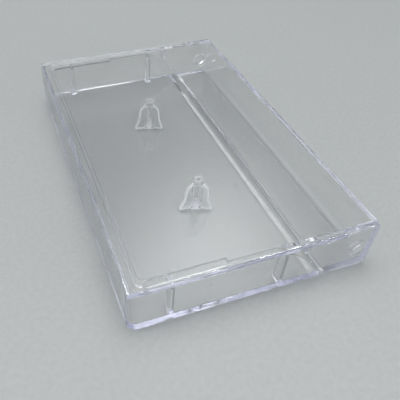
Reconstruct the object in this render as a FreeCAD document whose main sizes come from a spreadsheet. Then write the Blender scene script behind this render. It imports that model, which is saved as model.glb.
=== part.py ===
import FreeCAD
import Part
import Sketcher
import os
import re

# Hinged clear case for one small tape cassette, lying closed on its back.
# Two mouldings snap together: the tray (underneath) and the lid (on top).
# +X points to the hinge side, +Y along the case, +Z up; the origin is the middle of the footprint.
# Lengths are millimetres, angles are degrees.

DIMENSIONS = [
    ("case_length", 108.5, "along the hinge, over the tray's end walls"),
    ("case_width", 69.0, "from the opening side to the spine"),
    ("case_height", 15.5, "closed"),
    ("panel_thickness", 1.4, "front panel of the lid"),
    ("floor_thickness", 1.5, "back panel of the tray, and flap of the lid"),
    ("wall_thickness", 1.2, "tray walls, arms and the spine"),
    ("ear_thickness", 1.1, "end walls of the lid, nested in the tray"),
    ("nest_gap", 0.12, "between an ear and the tray wall outside it"),
    ("seam_gap", 0.12, "between the front panel and the walls under it"),
    ("floor_edge", 20.0, "where the tray's floor ends, from the middle"),
    ("bead_start", 16.8, "foot of the low ramp beside the floor's edge, from the middle"),
    ("bead_crest", 18.3, "where that ramp is highest"),
    ("bead_end", 18.8, "upright side of the bead"),
    ("bead_height", 0.6, "bead above the floor"),
    ("flap_edge", 21.3, "where the lid's flap starts, from the middle"),
    ("flap_drop", 0.05, "height of the flap above the resting plane"),
    ("notch_length", 10.6, "cut in the front panel for each arm's head"),
    ("head_slope", 2.0, "run of the slope up to an arm's head"),
    ("pivot_inset", 4.1, "pivot axis from the spine's outer face"),
    ("pivot_height", 6.7, "pivot axis above the resting plane"),
    ("pin_radius", 1.9, "pins moulded on the lid's ears"),
    ("pin_clearance", 0.06, "radial, in the arm's hole"),
    ("pin_recess", 0.1, "pin's tip below the arm's outer face"),
    ("boss_radius", 2.7, "pad round each pin, inside the ear"),
    ("boss_height", 0.5, "how far the pad stands proud"),
    ("rail_depth", 0.9, "lip under the front panel, along each end"),
    ("rail_setback", 3.0, "lip's start from the tray's opening wall"),
    ("card_reach", 1.1, "card lip inside the end lip, measured from the ear's inner face"),
    ("card_depth", 1.2, "card lip under the front panel"),
    ("card_side", 30.6, "inside of the card lip's run beside the opening, from the middle"),
    ("card_end", 8.4, "card lip's square ends, from the middle"),
    ("card_thickness", 1.0, "of the run beside the opening"),
    ("card_turn", 1.9, "inside of its two corners"),
    ("card_return", 2.4, "straight start of that run, past each corner"),
    ("card_back", 1.2, "outside of its two corners"),
    ("ear_corner", 9.0, "where the lip's line meets the ear's slope"),
    ("ear_toe", 1.2, "height of the ear's slope at the flap's edge"),
    ("ear_curve", 9.5, "radius between the lip and the ear's slope"),
    ("rib_thickness", 1.0, "locating ribs inside the tray's end walls"),
    ("rib_depth", 2.5, "how far the ribs stand into the tray"),
    ("rib_top", 12.4, "top of the ribs above the resting plane"),
    ("rib_outer", 23.2, "rib near the opening side, from the middle"),
    ("rib_inner", 7.4, "rib near the hinge side, from the middle"),
    ("nib_radius", 0.7, "card nib inside each ear"),
    ("nib_place", 14.0, "card nib from the middle"),
    ("nib_bottom", 10.6, "card nib's foot above the resting plane"),
    ("nib_top", 13.2, "card nib's head above the resting plane"),
    ("post_pitch", 42.5, "between the two hub posts"),
    ("post_shift", 2.7, "posts from the middle, to the opening side"),
    ("post_turn", -17.5, "turn of each post about its own axis"),
    ("post_top", 12.6, "top of a post above the resting plane"),
    ("post_side", 2.8, "square column of a post"),
    ("dimple_radius", 0.6, "dimple in a column's top"),
    ("dimple_depth", 0.5, "depth of that dimple"),
    ("fin_thickness", 1.0, "fins round a post's column"),
    ("fin_foot", 5.1, "reach of a fin at the floor"),
    ("fin_knee", 3.8, "reach of a fin at its knee"),
    ("fin_shoulder", 3.3, "reach of a fin at its shoulder"),
    ("knee_height", 5.2, "height of the knee"),
    ("shoulder_height", 9.3, "height of the shoulder"),
    ("fin_top", 11.3, "where a fin meets its column"),
    ("outer_round", 2.6, "upright corners at the opening side, outside"),
    ("inner_round", 1.5, "the same corners, inside"),
    ("floor_round", 0.8, "hollow corner between the tray's floor and its walls and ribs"),
    ("spine_round", 3.0, "lower edge of the spine, clear of the table"),
    ("pocket_round", 0.8, "hollow corner between the flap and the spine and ears"),
    ("arm_round", 1.2, "upper and lower corners of each arm"),
    ("edge_round", 0.4, "small rounds on the lid's upper edges"),
    ("foot_round", 0.35, "small rounds along the tray's lower and outer edges"),
]
FIN_ANGLES = (90.0, 194.0, 346.0)   # fins round a post's column, before its turn
PLACES = 1e-4                        # how close two coordinates count as equal

document = FreeCAD.newDocument("HingedCase")
sheet = document.addObject("Spreadsheet::Sheet", "Dims")
for row, (alias, size, note) in enumerate(DIMENSIONS, start=1):
    sheet.set(f"A{row}", note)
    sheet.set(f"B{row}", str(size))
    sheet.setAlias(f"B{row}", alias)
document.recompute()


def expr(text):
    """An expression in which each word is a cell of the sheet."""
    return re.sub(r"[a-z]+_[a-z]+", lambda word: "Dims." + word.group(), text)


def value(text):
    """What such an expression comes to, as a plain number."""
    return float(sheet.evalExpression(expr(text)))


# Places that several features share, as expressions of the sheet's cells.
HALF_X = "case_width / 2"
HALF_Y = "case_length / 2"
WALL_TOP = "case_height - panel_thickness - seam_gap"
PANEL_UNDER = "case_height - panel_thickness"
PIVOT_X = "case_width / 2 - pivot_inset"
EAR_OUTER = "(case_length / 2 - wall_thickness - nest_gap)"
EAR_INNER = "(case_length / 2 - wall_thickness - nest_gap - ear_thickness)"
TRAY_INNER = "(case_length / 2 - wall_thickness)"
NOTCH_X = "case_width / 2 - notch_length"
RAIL_BOTTOM = "(case_height - panel_thickness - rail_depth)"
CARD_FACE = "-" + EAR_INNER + " + card_reach"


def new_body(name):
    body = document.addObject("PartDesign::Body", name)
    body.Label = name
    document.recompute()
    return body


def origin_feature(body, role):
    """The body's own plane or axis with that role."""
    return next(item for item in body.Origin.OriginFeatures if item.Role == role)


def new_sketch(body, name, plane, lift="", shift=("", ""), turn=""):
    """A sketch on an origin plane, moved along it by shift, off it by lift, and turned upright."""
    sketch = body.newObject("Sketcher::SketchObject", name)
    sketch.AttachmentSupport = (origin_feature(body, plane), [""])
    sketch.MapMode = "FlatFace"
    upright = FreeCAD.Vector(0, 0, 1) if plane == "XY_Plane" else FreeCAD.Vector(0, 1, 0)
    if turn:
        sketch.AttachmentOffset = FreeCAD.Placement(FreeCAD.Vector(), FreeCAD.Rotation(upright, value(turn)))
        sketch.setExpression("AttachmentOffset.Rotation.Angle", expr(turn))
    for axis, text in zip("xyz", (shift[0], shift[1], lift)):
        if text:
            sketch.setExpression("AttachmentOffset.Base." + axis, expr(text))
    return sketch


def bind_point(sketch, geometry, end, across, up):
    """Hold one point of the sketch at a place given by two expressions."""
    for kind, text in (("DistanceX", across), ("DistanceY", up)):
        index = sketch.addConstraint(Sketcher.Constraint(kind, -1, 1, geometry, end, value(text)))
        sketch.setExpression(f"Constraints[{index}]", expr(text))


def polygon(sketch, corners):
    """A closed outline of straight edges through the corners."""
    points = [FreeCAD.Vector(value(across), value(up), 0) for across, up in corners]
    count = len(points)
    for index in range(count):
        sketch.addGeometry(Part.LineSegment(points[index], points[(index + 1) % count]))
    for index in range(count):
        sketch.addConstraint(Sketcher.Constraint("Coincident", index, 2, (index + 1) % count, 1))
    for index, (across, up) in enumerate(corners):
        bind_point(sketch, index, 1, across, up)
    return sketch


def rectangle(sketch, low_x, low_y, high_x, high_y):
    return polygon(sketch, [(low_x, low_y), (high_x, low_y), (high_x, high_y), (low_x, high_y)])


def circle(sketch, across, up, radius):
    """A circle whose centre and radius are bound to the sheet."""
    centre = FreeCAD.Vector(value(across), value(up), 0)
    index = sketch.addGeometry(Part.Circle(centre, FreeCAD.Vector(0, 0, 1), value(radius)))
    bind_point(sketch, index, 3, across, up)
    held = sketch.addConstraint(Sketcher.Constraint("Radius", index, value(radius)))
    sketch.setExpression(f"Constraints[{held}]", expr(radius))
    return sketch


def pad(body, name, sketch, length, midplane=False):
    feature = body.newObject("PartDesign::Pad", name)
    feature.Profile = sketch
    feature.Midplane = midplane
    feature.setExpression("Length", expr(length))
    document.recompute()
    return feature


def pocket(body, name, sketch, depth="", midplane=False):
    """Cut the sketch away, and make sure that something was cut."""
    before = body.Shape.Volume
    feature = body.newObject("PartDesign::Pocket", name)
    feature.Profile = sketch
    feature.Midplane = midplane
    if depth:
        feature.setExpression("Length", expr(depth))
    else:
        feature.Type = "ThroughAll"
    document.recompute()
    if body.Shape.Volume > before - PLACES:
        raise ValueError(name + " cuts nothing")
    return feature


def mirror_ends(body, name, features):
    """The same features at the other short end."""
    mirrored = body.newObject("PartDesign::Mirrored", name)
    mirrored.Originals = features
    mirrored.MirrorPlane = (origin_feature(body, "XZ_Plane"), [""])
    body.Tip = mirrored
    document.recompute()
    return mirrored


def at(number, text):
    return abs(number - value(text)) < PLACES


def fillet(body, name, radius, chosen):
    """Round every edge of the body for which chosen(start, end) holds."""
    names = []
    for index, edge in enumerate(body.Shape.Edges, start=1):
        if edge.Length > PLACES and len(edge.Vertexes) == 2:
            if chosen(edge.Vertexes[0].Point, edge.Vertexes[1].Point):
                names.append(f"Edge{index}")
    if not names:
        raise ValueError(name + " finds no edge")
    base = body.Tip
    feature = body.newObject("PartDesign::Fillet", name)
    feature.Base = (base, names)
    feature.setExpression("Radius", expr(radius))
    document.recompute()
    return feature


def build_post(body, side, name):
    """A hub post: a square column with a dimpled top and three flaring fins."""
    place_x = "-post_shift"
    place_y = f"{side} * post_pitch / 2"
    half = "post_side / 2"
    sketch = new_sketch(body, name + "_column_sketch", "XY_Plane", "", (place_x, place_y), "post_turn")
    rectangle(sketch, "-" + half, "-" + half, half, half)
    pad(body, name + "_column", sketch, "post_top")
    for number, angle in enumerate(FIN_ANGLES, start=1):
        sketch = new_sketch(body, f"{name}_fin_sketch_{number}", "XZ_Plane", "-" + place_y, (place_x, ""),
                            f"{angle} + post_turn")
        polygon(sketch, [
            ("0 * fin_foot", "floor_thickness / 2"),
            ("fin_foot", "floor_thickness / 2"),
            ("fin_foot", "floor_thickness"),
            ("fin_knee", "knee_height"),
            ("fin_shoulder", "shoulder_height"),
            ("post_side / 2", "fin_top"),
            ("0 * fin_foot", "fin_top"),
        ])
        pad(body, f"{name}_fin_{number}", sketch, "fin_thickness", midplane=True)
    sketch = new_sketch(body, name + "_dimple_sketch", "XY_Plane", "post_top", (place_x, place_y))
    circle(sketch, "0 * post_side", "0 * post_side", "dimple_radius")
    pocket(body, name + "_dimple", sketch, "dimple_depth")


def build_tray():
    """Floor, opening wall, two end walls with hinge arms, ribs and hub posts."""
    body = new_body("tray")

    sketch = new_sketch(body, "floor_sketch", "XY_Plane")
    rectangle(sketch, "-" + HALF_X, "-" + HALF_Y, "floor_edge", HALF_Y)
    pad(body, "floor", sketch, "floor_thickness")

    sketch = new_sketch(body, "opening_wall_sketch", "XY_Plane")
    rectangle(sketch, "-" + HALF_X, "-" + HALF_Y, f"-{HALF_X} + wall_thickness", HALF_Y)
    pad(body, "opening_wall", sketch, WALL_TOP)

    sketch = new_sketch(body, "end_wall_sketch", "XZ_Plane", TRAY_INNER)
    polygon(sketch, [
        ("-" + HALF_X, "0 * case_height"),
        (HALF_X, "0 * case_height"),
        (HALF_X, "case_height"),
        (NOTCH_X + " + seam_gap + head_slope", "case_height"),
        (NOTCH_X + " + seam_gap", WALL_TOP),
        ("-" + HALF_X, WALL_TOP),
    ])
    end_wall = pad(body, "end_wall", sketch, "wall_thickness")

    ribs = []
    for name, middle in (("outer_rib", "-rib_outer"), ("inner_rib", "rib_inner")):
        sketch = new_sketch(body, name + "_sketch", "XY_Plane")
        rectangle(sketch, middle + " - rib_thickness / 2", f"-{TRAY_INNER} - wall_thickness / 2",
                  middle + " + rib_thickness / 2", f"-{TRAY_INNER} + rib_depth")
        ribs.append(pad(body, name, sketch, "rib_top"))
    mirror_ends(body, "far_end", [end_wall] + ribs)

    fillet(body, "outer_corners", "outer_round",
           lambda a, b: at(a.x, "-" + HALF_X) and at(b.x, "-" + HALF_X)
           and at(abs(a.y), HALF_Y) and at(abs(b.y), HALF_Y) and abs(a.z - b.z) > 1.0)
    fillet(body, "inner_corners", "inner_round",
           lambda a, b: at(a.x, f"-{HALF_X} + wall_thickness") and at(b.x, f"-{HALF_X} + wall_thickness")
           and at(abs(a.y), TRAY_INNER) and at(abs(b.y), TRAY_INNER) and abs(a.z - b.z) > 1.0)
    fillet(body, "floor_hollows", "floor_round",
           lambda a, b: at(a.z, "floor_thickness") and at(b.z, "floor_thickness")
           and not (at(a.x, "floor_edge") and at(b.x, "floor_edge")))
    fillet(body, "arm_corners", "arm_round",
           lambda a, b: at(a.x, HALF_X) and at(b.x, HALF_X) and at(a.z, "case_height")
           and at(b.z, "case_height") and abs(a.y - b.y) > 0.5)
    fillet(body, "arm_heels", "arm_round",
           lambda a, b: at(a.x, HALF_X) and at(b.x, HALF_X) and abs(a.z) < PLACES
           and abs(b.z) < PLACES and abs(a.y - b.y) > 0.5)

    fillet(body, "foot_edges", "foot_round",
           lambda a, b: abs(a.z) < PLACES and abs(b.z) < PLACES and at(abs(a.y), HALF_Y)
           and at(abs(b.y), HALF_Y) and abs(a.x - b.x) > value(HALF_X))

    sketch = new_sketch(body, "bead_sketch", "XZ_Plane", "-" + TRAY_INNER)
    polygon(sketch, [
        ("bead_start", "floor_thickness / 2"),
        ("bead_end", "floor_thickness / 2"),
        ("bead_end", "floor_thickness + bead_height"),
        ("bead_crest", "floor_thickness + bead_height"),
        ("bead_start", "floor_thickness"),
    ])
    pad(body, "floor_bead", sketch, "case_length - 2 * wall_thickness")

    for side, name in ((-1, "near_post"), (1, "far_post")):
        build_post(body, side, name)

    sketch = new_sketch(body, "pivot_hole_sketch", "XZ_Plane")
    circle(sketch, PIVOT_X, "pivot_height", "pin_radius + pin_clearance")
    pocket(body, "pivot_holes", sketch, midplane=True)
    return body


def build_lid():
    """Front panel, spine, card flap, two ears with their pins, a card lip and card nibs."""
    body = new_body("lid")

    sketch = new_sketch(body, "panel_sketch", "XY_Plane", PANEL_UNDER)
    polygon(sketch, [
        ("-" + HALF_X, "-" + HALF_Y),
        (NOTCH_X, "-" + HALF_Y),
        (NOTCH_X, "-" + EAR_OUTER),
        (HALF_X, "-" + EAR_OUTER),
        (HALF_X, EAR_OUTER),
        (NOTCH_X, EAR_OUTER),
        (NOTCH_X, HALF_Y),
        ("-" + HALF_X, HALF_Y),
    ])
    pad(body, "front_panel", sketch, "panel_thickness")

    sketch = new_sketch(body, "spine_sketch", "XY_Plane", "flap_drop")
    rectangle(sketch, HALF_X + " - wall_thickness", "-" + EAR_OUTER, HALF_X, EAR_OUTER)
    pad(body, "spine", sketch, "case_height - flap_drop - panel_thickness / 2")

    sketch = new_sketch(body, "flap_sketch", "XY_Plane", "flap_drop")
    rectangle(sketch, "flap_edge", "-" + EAR_OUTER, HALF_X + " - wall_thickness / 2", EAR_OUTER)
    pad(body, "card_flap", sketch, "floor_thickness")

    sketch = new_sketch(body, "ear_sketch", "XZ_Plane", EAR_INNER)
    polygon(sketch, [
        (f"-{HALF_X} + wall_thickness + rail_setback", RAIL_BOTTOM),
        ("ear_corner", RAIL_BOTTOM),
        ("flap_edge", "ear_toe"),
        ("flap_edge", "flap_drop"),
        (HALF_X, "flap_drop"),
        (HALF_X, "case_height - panel_thickness / 2"),
        (f"-{HALF_X} + wall_thickness + rail_setback", "case_height - panel_thickness / 2"),
    ])
    ear = pad(body, "ear", sketch, "ear_thickness")

    sketch = new_sketch(body, "boss_sketch", "XZ_Plane", EAR_INNER + " - boss_height")
    circle(sketch, PIVOT_X, "pivot_height", "boss_radius")
    boss = pad(body, "pin_boss", sketch, "boss_height + ear_thickness / 2")

    sketch = new_sketch(body, "pin_sketch", "XZ_Plane", EAR_INNER)
    circle(sketch, PIVOT_X, "pivot_height", "pin_radius")
    pin = pad(body, "pivot_pin", sketch, "ear_thickness + nest_gap + wall_thickness - pin_recess")

    sketch = new_sketch(body, "card_lip_sketch", "XY_Plane", PANEL_UNDER + " - card_depth")
    polygon(sketch, [
        ("-card_end", "-" + EAR_OUTER),
        ("-card_end", CARD_FACE),
        ("-card_side", CARD_FACE),
        ("-card_side", CARD_FACE + " + card_return"),
        ("-card_side - card_thickness", CARD_FACE + " + card_return"),
        ("-card_side - card_thickness", "-" + EAR_INNER),
        (f"-{HALF_X} + wall_thickness + rail_setback", "-" + EAR_INNER),
        (f"-{HALF_X} + wall_thickness + rail_setback", "-" + EAR_OUTER),
    ])
    lip = pad(body, "card_lip", sketch, "card_depth + panel_thickness / 2")

    sketch = new_sketch(body, "nib_sketch", "XY_Plane", "nib_bottom")
    circle(sketch, "nib_place", "-" + EAR_INNER, "nib_radius")
    nib = pad(body, "card_nib", sketch, "nib_top - nib_bottom")
    mirror_ends(body, "far_end_features", [ear, boss, pin, lip, nib])

    fillet(body, "ear_curves", "ear_curve",
           lambda a, b: at(a.x, "ear_corner") and at(b.x, "ear_corner") and at(a.z, RAIL_BOTTOM)
           and at(b.z, RAIL_BOTTOM))
    fillet(body, "card_corners", "card_turn",
           lambda a, b: at(a.x, "-card_side") and at(b.x, "-card_side")
           and at(abs(a.y), "-(" + CARD_FACE + ")") and at(abs(b.y), "-(" + CARD_FACE + ")"))
    fillet(body, "card_backs", "card_back",
           lambda a, b: at(a.x, "-card_side - card_thickness") and at(b.x, "-card_side - card_thickness")
           and at(abs(a.y), EAR_INNER) and at(abs(b.y), EAR_INNER))
    sketch = new_sketch(body, "card_run_sketch", "XY_Plane", PANEL_UNDER + " - card_depth")
    rectangle(sketch, "-card_side - card_thickness", f"{CARD_FACE} + (card_turn + card_return) / 2",
              "-card_side", f"-({CARD_FACE} + (card_turn + card_return) / 2)")
    pad(body, "card_run", sketch, "card_depth + panel_thickness / 2")
    fillet(body, "spine_heel", "spine_round",
           lambda a, b: at(a.x, HALF_X) and at(b.x, HALF_X) and at(a.z, "flap_drop")
           and at(b.z, "flap_drop"))
    fillet(body, "pocket_hollows", "pocket_round",
           lambda a, b: at(a.z, "flap_drop + floor_thickness") and at(b.z, "flap_drop + floor_thickness")
           and not (at(a.x, "flap_edge") and at(b.x, "flap_edge")))
    fillet(body, "top_edges", "edge_round",
           lambda a, b: at(a.z, "case_height") and at(b.z, "case_height"))
    return body


parts = [build_tray(), build_lid()]
document.recompute()

for item in document.Objects:
    for word in ("Invalid", "Error"):
        if word in item.State:
            raise ValueError(f"{item.Label} is {item.State}")
for part in parts:
    if part.Shape.isNull() or not part.Shape.isValid() or len(part.Shape.Solids) != 1:
        raise ValueError(f"{part.Label} is not one valid solid")

os.makedirs("parts", exist_ok=True)
for part in parts:
    part.Shape.exportStep(f"parts/{part.Label}.step")
    box = part.Shape.optimalBoundingBox()
    print(f"{part.Label}: {part.Shape.Volume / 1000:.2f} cm3,"
          f" X {box.XMin:.2f} to {box.XMax:.2f}, Y {box.YMin:.2f} to {box.YMax:.2f},"
          f" Z {box.ZMin:.2f} to {box.ZMax:.2f}")
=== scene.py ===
import math

import bmesh
import bpy
from mathutils import Matrix, Vector


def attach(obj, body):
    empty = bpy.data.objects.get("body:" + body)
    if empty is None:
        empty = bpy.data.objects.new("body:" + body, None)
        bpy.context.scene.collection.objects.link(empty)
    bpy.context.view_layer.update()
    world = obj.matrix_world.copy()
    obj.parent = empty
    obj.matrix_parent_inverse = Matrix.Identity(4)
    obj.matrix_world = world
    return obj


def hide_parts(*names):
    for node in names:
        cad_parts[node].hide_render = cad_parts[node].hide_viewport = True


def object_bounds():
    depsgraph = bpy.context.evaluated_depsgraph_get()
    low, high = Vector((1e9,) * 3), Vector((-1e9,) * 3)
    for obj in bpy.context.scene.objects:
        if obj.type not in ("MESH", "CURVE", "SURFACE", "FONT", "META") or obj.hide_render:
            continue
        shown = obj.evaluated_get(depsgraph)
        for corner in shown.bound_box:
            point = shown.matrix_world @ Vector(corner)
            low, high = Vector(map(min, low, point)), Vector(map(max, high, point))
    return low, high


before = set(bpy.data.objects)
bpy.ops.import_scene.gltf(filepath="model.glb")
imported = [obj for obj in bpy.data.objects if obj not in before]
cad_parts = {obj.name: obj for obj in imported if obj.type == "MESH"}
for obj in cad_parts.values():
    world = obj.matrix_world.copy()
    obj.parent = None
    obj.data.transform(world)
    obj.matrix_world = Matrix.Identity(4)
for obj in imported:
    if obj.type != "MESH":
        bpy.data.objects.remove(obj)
cad_box = [list(corner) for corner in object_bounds()]

MM = 0.001

# Camera: where it stands, how it is turned, and its lens.
CAMERA_PLACE = Vector((-52.71, -114.88, 107.92)) * MM
CAMERA_HEADING = 20.172      # degrees from +Y towards +X
CAMERA_PITCH = -43.216       # degrees above the horizon
CAMERA_ROLL = 1.443          # degrees
CAMERA_LENS = 44.17          # mm, on a sensor 36 mm wide
CAMERA_SENSOR = 36.0
CAMERA_SHIFT = (0.1317, -0.0290)
CAMERA_CLIP = (0.005, 10.0)  # m

# Clear polystyrene. A noise is its scale in features per metre and its detail.
POLYSTYRENE_IOR = 1.59
TINT_NOISE = (60.0, 2.0)
TINT_RANGE = ((0.3, (0.990, 0.992, 0.996, 1.0)), (0.7, (0.996, 0.995, 0.993, 1.0)))
INNER_COLOUR = (0.60, 0.62, 0.88, 1.0)       # what light turns to on a long way through the plastic
INNER_DENSITY = 6.0
WAVE_NOISE = (45.0, 1.0)
WAVE_HEIGHT = 0.010 * MM                     # of the faint waves that moulding leaves in a face
SCUFF_CELLS = 260.0                          # per metre
SCUFF_STRETCH = (0.06, 1.0, 0.3)             # of the cells, whose borders are the scuffs
SCUFF_TURNS = (24.0, 71.0)                   # degrees about Z, the two ways that scuffs run
SCUFF_WIDTH = 0.006                          # in cells
SCUFF_ROUGHNESS = 0.25
WORN_NOISE = (90.0, 3.0)
WORN_ABOVE = 0.56                            # scuffs show where this noise is higher
SPECK_CELLS = 180.0                          # per metre
SPECK_SIZE = 0.045                           # radius, in cells
SPECK_HAZE = 0.5

# The hub posts, which repeat the CAD's sizes, and the unpolished places on them, made whiter as a painted
# highlight.
POST_X, POST_Y = -2.7 * MM, 21.25 * MM       # they stand at this X, and at plus and minus this Y
POST_TOP = 12.6 * MM
FIN_OUTLINE = (                              # a fin's height and its reach from the post's axis
    (1.5 * MM, 5.1 * MM),
    (5.2 * MM, 3.8 * MM),
    (9.3 * MM, 3.3 * MM),
    (11.3 * MM, 1.4 * MM),
)
FIN_FOOT, FIN_REACH = FIN_OUTLINE[0]
FIN_TOP = FIN_OUTLINE[-1][0]
RIM_WIDTH = 0.35 * MM
FOOT_HEIGHT = 0.5 * MM
ABOVE_FLOOR = 0.1 * MM
TOP_SATIN = 0.45                             # how satin the flat top is, next to a fin's rim
COLUMN_REACH = 1.65 * MM                     # takes in the column's sides, but not its corners
COLUMN_HIGHLIGHT_FADE = (2.5 * MM, 7.5 * MM, 0.9, 0.0)   # between these heights the column's satin goes from this to this; its white band is a painted highlight
SATIN_ROUGHNESS = 0.4
# how white the satin places are made: partly real haze, partly painted highlight
SATIN_AND_HIGHLIGHT_HAZE = 0.85

# The rounding that scene.py adds to the CAD's sharp edges.
WELD_DISTANCE = 0.002 * MM
FLAT_WITHIN = 0.5                            # degrees between two faces that count as one
EDGE_WIDTH = 0.20 * MM
EDGE_SEGMENTS = 3
SHARP_ABOVE = 40.0                           # degrees
LARGE_FACE_WEIGHT = 100                      # how far the large faces decide a bevel's shading

# The table.
TABLE_HALF = 1.5                             # m, half of a side
TABLE_BELOW = 0.05 * MM                      # clearance under the case
TABLE_TONES = ((0.3, (0.452, 0.470, 0.475, 1.0)), (0.7, (0.492, 0.510, 0.515, 1.0)))
TONE_NOISE = (700.0, 5.0)
TABLE_ROUGHNESS = 0.6
TABLE_SPECULAR = 0.38
GRAIN_NOISE = (1800.0, 3.0)
GRAIN_HEIGHT = 0.05 * MM
GRAIN_STRENGTH = 0.3

# Light: a dim room with soft bright patches round it, a lamp overhead, and lamps for highlights.
ROOM_BRIGHTNESS = 0.06
ROOM_COLOUR = (0.97, 1.0, 1.0, 1.0)
BACKDROP_BRIGHTNESS = 0.55    # the plain backdrop beyond the table, as the camera sees it
ROOM_MAP_SIZE = 512           # of the map that samples the room's light
ROOM_PATCHES = (          # azimuth from +Y towards +X, elevation, spread (all in degrees), edge, brightness
    (33.0, 48.0, 8.5, 2.0, 0.85),       # a glow above the far side
    (42.0, 38.0, 27.0, 4.0, 0.22),      # the room behind it
    (30.0, 68.0, 19.0, 4.0, 0.95),      # high on the far side
    (165.0, 12.0, 38.0, 8.0, 1.45),     # the near side
    (290.0, 6.0, 32.0, 8.0, 1.15),      # the left side
    (10.0, 2.0, 13.0, 6.0, 1.00),       # low on the far side
    (340.0, 4.0, 15.0, 6.0, 0.95),      # beside it, to the left
    (232.0, 4.0, 20.0, 6.0, 1.00),      # low at the near left
    (105.0, 42.0, 20.0, 6.0, 0.95),     # half way up on the right
    (285.0, 44.0, 15.0, 6.0, 0.90),     # half way up on the left
)
LAMP_PLACE = Vector((-0.03, 0.09, 0.70))     # m
LAMP_SIZE = (0.40, 0.40)      # m
LAMP_POWER = 2.20             # W
MIRROR_DIMMING = 0.85         # of the lamp where it is seen after one reflection
# Small bright lamps for highlights in the plastic: azimuth, elevation and width in degrees, brightness
SPARKLES = (
    (75.0, 66.0, 8.0, 90.0),
    (150.0, 66.0, 8.0, 90.0),
    (225.0, 66.0, 8.0, 90.0),
    (300.0, 66.0, 8.0, 90.0),
    (285.0, 36.0, 8.0, 90.0),
)
# Long narrow ones: azimuth and elevation, the world axis that they run along, width and length in degrees,
# brightness
TUBES = (
    (349.0, 54.0, Vector((0.0, 1.0, 0.0)), 4.0, 34.0, 4.5),
    (106.0, 62.0, Vector((1.0, 0.0, 0.0)), 2.5, 34.0, 40.0),
)
HIGHLIGHT_DISTANCE = 1.2      # m from the origin

# How many times light may turn.
PIPED_BOUNCES = 256
DIFFUSE_BOUNCES = 4


# ---------------------------------------------------------------- nodes

def maths(nodes, links, operation, first, second=0.0):
    """One Math node on two values, each a number or another node's output."""
    node = nodes.new("ShaderNodeMath")
    node.operation = operation
    for socket, value in zip(node.inputs, (first, second)):
        if isinstance(value, float):
            socket.default_value = value
        else:
            links.new(value, socket)
    return node.outputs["Value"]


def stretched(nodes, links, value, sizes):
    """The value mapped from one range to another and held at the ends: sizes has both ends of each."""
    node = nodes.new("ShaderNodeMapRange")
    links.new(value, node.inputs["Value"])
    for socket, size in zip(("From Min", "From Max", "To Min", "To Max"), sizes):
        node.inputs[socket].default_value = size
    return node.outputs["Result"]


# ---------------------------------------------------------------- materials

def new_material(name):
    """An empty node material, with its nodes and links."""
    material = bpy.data.materials.new(name)
    material.use_nodes = True
    nodes = material.node_tree.nodes
    nodes.clear()
    return material, nodes, material.node_tree.links


def noise(nodes, links, coordinates, scale, detail):
    """Noise in object coordinates, scale in features per metre."""
    texture = nodes.new("ShaderNodeTexNoise")
    texture.inputs["Scale"].default_value = scale
    texture.inputs["Detail"].default_value = detail
    links.new(coordinates, texture.inputs["Vector"])
    return texture.outputs["Fac"]


def ramp(nodes, links, value, stops):
    """A colour ramp: stops are (position, colour)."""
    node = nodes.new("ShaderNodeValToRGB")
    elements = node.color_ramp.elements
    for element, (position, colour) in zip(elements, stops):
        element.position = position
        element.color = colour
    links.new(value, node.inputs["Fac"])
    return node.outputs["Color"]


def hairlines(nodes, links, coordinates, turn):
    """1 on fine straight scuffs: the borders of stretched cells, turned about Z by turn degrees."""
    place = nodes.new("ShaderNodeMapping")
    place.inputs["Rotation"].default_value = (0.0, 0.0, math.radians(turn))
    place.inputs["Scale"].default_value = SCUFF_STRETCH
    links.new(coordinates, place.inputs["Vector"])
    cells = nodes.new("ShaderNodeTexVoronoi")
    cells.feature = "DISTANCE_TO_EDGE"
    cells.inputs["Scale"].default_value = SCUFF_CELLS
    links.new(place.outputs["Vector"], cells.inputs["Vector"])
    return maths(nodes, links, "LESS_THAN", cells.outputs["Distance"], SCUFF_WIDTH)


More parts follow.
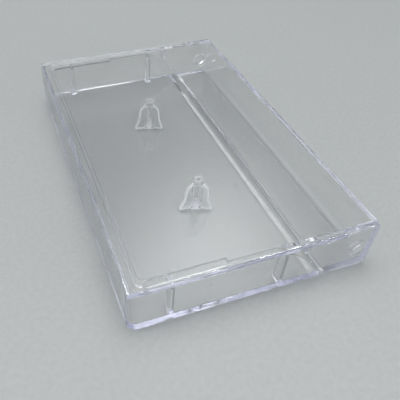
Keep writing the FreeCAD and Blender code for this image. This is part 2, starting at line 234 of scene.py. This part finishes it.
def post_satin_and_highlight(nodes, links, coordinates):
    """How satin each place on the hub posts is, from 0 to 1.

    Their fins are satin on their rims and feet, and the columns on their tops and lower sides. The whiteness
    of these places is partly painted highlight."""
    split = nodes.new("ShaderNodeSeparateXYZ")
    links.new(coordinates, split.inputs["Vector"])
    height = split.outputs["Z"]
    across = maths(nodes, links, "SUBTRACT", split.outputs["X"], POST_X)
    along = maths(nodes, links, "SUBTRACT", maths(nodes, links, "ABSOLUTE", split.outputs["Y"]), POST_Y)
    across_squared = maths(nodes, links, "MULTIPLY", across, across)
    along_squared = maths(nodes, links, "MULTIPLY", along, along)
    radius = maths(nodes, links, "SQRT", maths(nodes, links, "ADD", across_squared, along_squared))

    reach = FIN_REACH
    for (low, wide), (high, narrow) in zip(FIN_OUTLINE, FIN_OUTLINE[1:]):
        drawn_in = stretched(nodes, links, height, (low, high, 0.0, wide - narrow))
        reach = maths(nodes, links, "SUBTRACT", reach, drawn_in)
    rim = maths(nodes, links, "GREATER_THAN", radius, maths(nodes, links, "SUBTRACT", reach, RIM_WIDTH))
    foot = maths(nodes, links, "LESS_THAN", height, FIN_FOOT + FOOT_HEIGHT)
    standing = maths(nodes, links, "GREATER_THAN", height, FIN_FOOT + ABOVE_FLOOR)
    below_top = maths(nodes, links, "LESS_THAN", height, FIN_TOP)
    fins = maths(nodes, links, "MULTIPLY", maths(nodes, links, "MAXIMUM", rim, foot),
                 maths(nodes, links, "MULTIPLY", standing, below_top))

    top = maths(nodes, links, "MULTIPLY", TOP_SATIN,
                maths(nodes, links, "GREATER_THAN", height, POST_TOP - ABOVE_FLOOR))
    near_axis = maths(nodes, links, "LESS_THAN", radius, COLUMN_REACH)
    column = maths(nodes, links, "MULTIPLY", maths(nodes, links, "MULTIPLY", standing, near_axis),
                   stretched(nodes, links, height, COLUMN_HIGHLIGHT_FADE))
    marked = maths(nodes, links, "MAXIMUM", fins, maths(nodes, links, "MAXIMUM", top, column))
    on_post = maths(nodes, links, "LESS_THAN", radius, FIN_REACH + RIM_WIDTH)
    return maths(nodes, links, "MULTIPLY", marked, on_post)


def specks(nodes, links, coordinates):
    """1 on a few grains of dust, which sit where a cell's middle happens to lie in the surface."""
    cells = nodes.new("ShaderNodeTexVoronoi")
    cells.inputs["Scale"].default_value = SPECK_CELLS
    links.new(coordinates, cells.inputs["Vector"])
    return maths(nodes, links, "LESS_THAN", cells.outputs["Distance"], SPECK_SIZE)


def clear_polystyrene(name, posts=False):
    """Polished clear plastic with a slight tint, moulding waves, scuffs and dust, and satin on posts that is
    partly painted highlight.
    """
    material, nodes, links = new_material(name)
    output = nodes.new("ShaderNodeOutputMaterial")
    shader = nodes.new("ShaderNodeBsdfPrincipled")
    places = nodes.new("ShaderNodeTexCoord").outputs["Object"]
    shader.inputs["IOR"].default_value = POLYSTYRENE_IOR
    tint = ramp(nodes, links, noise(nodes, links, places, *TINT_NOISE), TINT_RANGE)
    links.new(tint, shader.inputs["Base Color"])

    one_way, other_way = (hairlines(nodes, links, places, turn) for turn in SCUFF_TURNS)
    scuffs = maths(nodes, links, "MAXIMUM", one_way, other_way)
    worn = maths(nodes, links, "GREATER_THAN", noise(nodes, links, places, *WORN_NOISE), WORN_ABOVE)
    marks = maths(nodes, links, "MULTIPLY", scuffs, worn)
    rough = maths(nodes, links, "MULTIPLY", marks, SCUFF_ROUGHNESS)
    haze = maths(nodes, links, "MULTIPLY", specks(nodes, links, places), SPECK_HAZE)
    if posts:
        # On the posts the satin whitens rims, feet and column: partly real satin, partly painted highlight.
        satin = post_satin_and_highlight(nodes, links, places)
        satin_rough = maths(nodes, links, "MULTIPLY", satin, SATIN_ROUGHNESS)
        satin_and_highlight_haze = maths(nodes, links, "MULTIPLY", satin, SATIN_AND_HIGHLIGHT_HAZE)
        rough = maths(nodes, links, "MAXIMUM", rough, satin_rough)
        haze = maths(nodes, links, "MAXIMUM", haze, satin_and_highlight_haze)
    links.new(rough, shader.inputs["Roughness"])
    links.new(maths(nodes, links, "SUBTRACT", 1.0, haze), shader.inputs["Transmission Weight"])

    waves = nodes.new("ShaderNodeBump")
    waves.inputs["Strength"].default_value = 1.0
    waves.inputs["Distance"].default_value = WAVE_HEIGHT
    links.new(noise(nodes, links, places, *WAVE_NOISE), waves.inputs["Height"])
    links.new(waves.outputs["Normal"], shader.inputs["Normal"])
    links.new(shader.outputs["BSDF"], output.inputs["Surface"])

    absorb = nodes.new("ShaderNodeVolumeAbsorption")
    absorb.inputs["Color"].default_value = INNER_COLOUR
    absorb.inputs["Density"].default_value = INNER_DENSITY
    links.new(absorb.outputs["Volume"], output.inputs["Volume"])
    return material


def table_material():
    """A pale smooth table top with a fine grain."""
    material, nodes, links = new_material("table_top")
    output = nodes.new("ShaderNodeOutputMaterial")
    shader = nodes.new("ShaderNodeBsdfPrincipled")
    places = nodes.new("ShaderNodeTexCoord").outputs["Object"]
    tone = ramp(nodes, links, noise(nodes, links, places, *TONE_NOISE), TABLE_TONES)
    links.new(tone, shader.inputs["Base Color"])
    shader.inputs["Roughness"].default_value = TABLE_ROUGHNESS
    shader.inputs["Specular IOR Level"].default_value = TABLE_SPECULAR
    grain = nodes.new("ShaderNodeBump")
    grain.inputs["Strength"].default_value = GRAIN_STRENGTH
    grain.inputs["Distance"].default_value = GRAIN_HEIGHT
    links.new(noise(nodes, links, places, *GRAIN_NOISE), grain.inputs["Height"])
    links.new(grain.outputs["Normal"], shader.inputs["Normal"])
    links.new(shader.outputs["BSDF"], output.inputs["Surface"])
    return material


# ---------------------------------------------------------------- moulded pieces

def moulded_piece(name, node, body, material):
    """The CAD node's own shape with its seams welded and its sharp edges finely rounded."""
    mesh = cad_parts[node].data.copy()
    mesh.name = name
    piece = bpy.data.objects.new(name, mesh)
    bpy.context.scene.collection.objects.link(piece)
    work = bmesh.new()
    work.from_mesh(mesh)
    bmesh.ops.remove_doubles(work, verts=work.verts, dist=WELD_DISTANCE)
    bmesh.ops.dissolve_limit(work, angle_limit=math.radians(FLAT_WITHIN),
                             verts=work.verts, edges=work.edges)
    work.to_mesh(mesh)
    work.free()
    mesh.materials.clear()
    mesh.materials.append(material)
    with bpy.context.temp_override(object=piece, active_object=piece, selected_objects=[piece],
                                   selected_editable_objects=[piece]):
        bpy.ops.mesh.customdata_custom_splitnormals_clear()
    bevel = piece.modifiers.new("fine_edges", "BEVEL")
    bevel.width = EDGE_WIDTH
    bevel.segments = EDGE_SEGMENTS
    bevel.limit_method = "ANGLE"
    bevel.angle_limit = math.radians(SHARP_ABOVE)
    shading = piece.modifiers.new("flat_faces_stay_flat", "WEIGHTED_NORMAL")
    shading.mode = "FACE_AREA"
    shading.weight = LARGE_FACE_WEIGHT
    shading.keep_sharp = False
    mesh.shade_smooth()
    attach(piece, body)
    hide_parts(node)


# ---------------------------------------------------------------- stage, light and camera

def build_stage():
    """A plain pale table, just under the case."""
    mesh = bpy.data.meshes.new("floor")
    corners = [(-TABLE_HALF, -TABLE_HALF, 0), (TABLE_HALF, -TABLE_HALF, 0),
               (TABLE_HALF, TABLE_HALF, 0), (-TABLE_HALF, TABLE_HALF, 0)]
    mesh.from_pydata(corners, [], [(0, 1, 2, 3)])
    floor = bpy.data.objects.new("floor", mesh)
    resting_height = cad_box[0][2]
    floor.location.z = resting_height - TABLE_BELOW
    mesh.materials.append(table_material())
    bpy.context.scene.collection.objects.link(floor)


def soft_light(name, place, size, watts):
    """A rectangular lamp that faces the origin."""
    light = bpy.data.lights.new(name, "AREA")
    light.shape = "RECTANGLE"
    light.size, light.size_y = size
    light.energy = watts
    lamp = bpy.data.objects.new(name, light)
    lamp.location = place
    lamp.rotation_euler = (-place).to_track_quat("-Z", "Y").to_euler()
    bpy.context.scene.collection.objects.link(lamp)
    return lamp


def glow(nodes, links, direction, spread, edge, peak):
    """A patch of light in the sky, spread degrees in radius; the larger edge is, the crisper its rim."""
    where = nodes.new("ShaderNodeTexCoord")
    offset = nodes.new("ShaderNodeVectorMath")
    offset.operation = "DISTANCE"
    offset.inputs[1].default_value = direction
    links.new(where.outputs["Generated"], offset.inputs[0])
    scaled = maths(nodes, links, "DIVIDE", offset.outputs["Value"], math.radians(spread))
    fall = maths(nodes, links, "POWER", scaled, edge)
    bell = maths(nodes, links, "POWER", math.exp(-1.0), fall)
    return maths(nodes, links, "MULTIPLY", bell, peak)


def sky_direction(azimuth, elevation):
    """A unit vector; azimuth in degrees from +Y towards +X."""
    level = math.cos(math.radians(elevation))
    return (level * math.sin(math.radians(azimuth)), level * math.cos(math.radians(azimuth)),
            math.sin(math.radians(elevation)))


def highlight_lamp(name, azimuth, elevation, run, width, length, brightness):
    """A lamp for sharp highlights in the plastic. It doesn't light diffuse colour, though gloss can show it.

    It faces the object, and its long side runs as nearly along run as it can."""
    outward = Vector(sky_direction(azimuth, elevation))
    along = (run - outward * run.dot(outward)).normalized()
    size = (HIGHLIGHT_DISTANCE * math.radians(length), HIGHLIGHT_DISTANCE * math.radians(width))
    lamp = soft_light(name, outward * HIGHLIGHT_DISTANCE, size, brightness * math.pi * size[0] * size[1])
    lamp.rotation_euler = Matrix((along, outward.cross(along), outward)).transposed().to_euler()
    lamp.visible_diffuse = False
    lamp.data.use_nodes = True
    nodes, links = lamp.data.node_tree.nodes, lamp.data.node_tree.links
    path = nodes.new("ShaderNodeLightPath")
    never_diffuse = maths(nodes, links, "LESS_THAN", path.outputs["Diffuse Depth"], 1.0)
    links.new(never_diffuse, nodes["Emission"].inputs["Strength"])


def soften_mirror_image(lamp):
    """Dim the lamp where it is seen after one reflection, so its image doesn't hide a flat clear panel."""
    lamp.data.use_nodes = True
    nodes, links = lamp.data.node_tree.nodes, lamp.data.node_tree.links
    path = nodes.new("ShaderNodeLightPath")
    once = maths(nodes, links, "COMPARE", path.outputs["Glossy Depth"], 1.0)
    dimmed = maths(nodes, links, "MULTIPLY", once, MIRROR_DIMMING)
    links.new(maths(nodes, links, "SUBTRACT", 1.0, dimmed), nodes["Emission"].inputs["Strength"])


def build_light():
    """A dim room with soft bright patches round it, a broad lamp overhead, and lamps for highlights."""
    world = bpy.data.worlds.new("studio")
    world.use_nodes = True
    nodes, links = world.node_tree.nodes, world.node_tree.links
    background = nodes["Background"]
    total = ROOM_BRIGHTNESS
    for azimuth, elevation, spread, edge, peak in ROOM_PATCHES:
        patch = glow(nodes, links, sky_direction(azimuth, elevation), spread, edge, peak)
        total = maths(nodes, links, "ADD", total, patch)
    seen_directly = nodes.new("ShaderNodeLightPath").outputs["Is Camera Ray"]
    lit = maths(nodes, links, "MULTIPLY", total, maths(nodes, links, "SUBTRACT", 1.0, seen_directly))
    plain = maths(nodes, links, "MULTIPLY", seen_directly, BACKDROP_BRIGHTNESS)
    links.new(maths(nodes, links, "ADD", lit, plain), background.inputs["Strength"])
    background.inputs["Color"].default_value = ROOM_COLOUR
    bpy.context.scene.world = world
    world.cycles.sampling_method = "MANUAL"
    world.cycles.sample_map_resolution = ROOM_MAP_SIZE

    soften_mirror_image(soft_light("ceiling_lamp", LAMP_PLACE, LAMP_SIZE, LAMP_POWER))
    along_x = Vector((1.0, 0.0, 0.0))
    for number, (azimuth, elevation, width, brightness) in enumerate(SPARKLES, 1):
        highlight_lamp(f"sparkle_{number}", azimuth, elevation, along_x, width, width, brightness)
    for number, look in enumerate(TUBES, 1):
        highlight_lamp(f"tube_{number}", *look)


def build_camera():
    """The camera that looks as the photo does."""
    data = bpy.data.cameras.new("camera")
    data.lens = CAMERA_LENS
    data.sensor_width = CAMERA_SENSOR
    data.shift_x, data.shift_y = CAMERA_SHIFT
    data.clip_start, data.clip_end = CAMERA_CLIP
    camera = bpy.data.objects.new("camera", data)
    turn = (Matrix.Rotation(-math.radians(CAMERA_HEADING), 3, "Z")
            @ Matrix.Rotation(math.radians(90 + CAMERA_PITCH), 3, "X")
            @ Matrix.Rotation(math.radians(CAMERA_ROLL), 3, "Z"))
    camera.matrix_world = Matrix.Translation(CAMERA_PLACE) @ turn.to_4x4()
    bpy.context.scene.collection.objects.link(camera)
    bpy.context.scene.camera = camera


def let_light_travel():
    """Light is piped along thin clear walls by many inner reflections before it comes out."""
    cycles = bpy.context.scene.cycles
    cycles.max_bounces = PIPED_BOUNCES
    cycles.glossy_bounces = PIPED_BOUNCES
    cycles.transmission_bounces = PIPED_BOUNCES
    cycles.diffuse_bounces = DIFFUSE_BOUNCES
    cycles.blur_glossy = 0.0


bpy.context.scene.view_settings.view_transform = "Standard"
build_camera()
let_light_travel()
moulded_piece("tray_moulding", "tray", "tray",
              clear_polystyrene("clear_polystyrene_tray", posts=True))
moulded_piece("lid_moulding", "lid", "lid", clear_polystyrene("clear_polystyrene_lid"))
build_stage()
build_light()
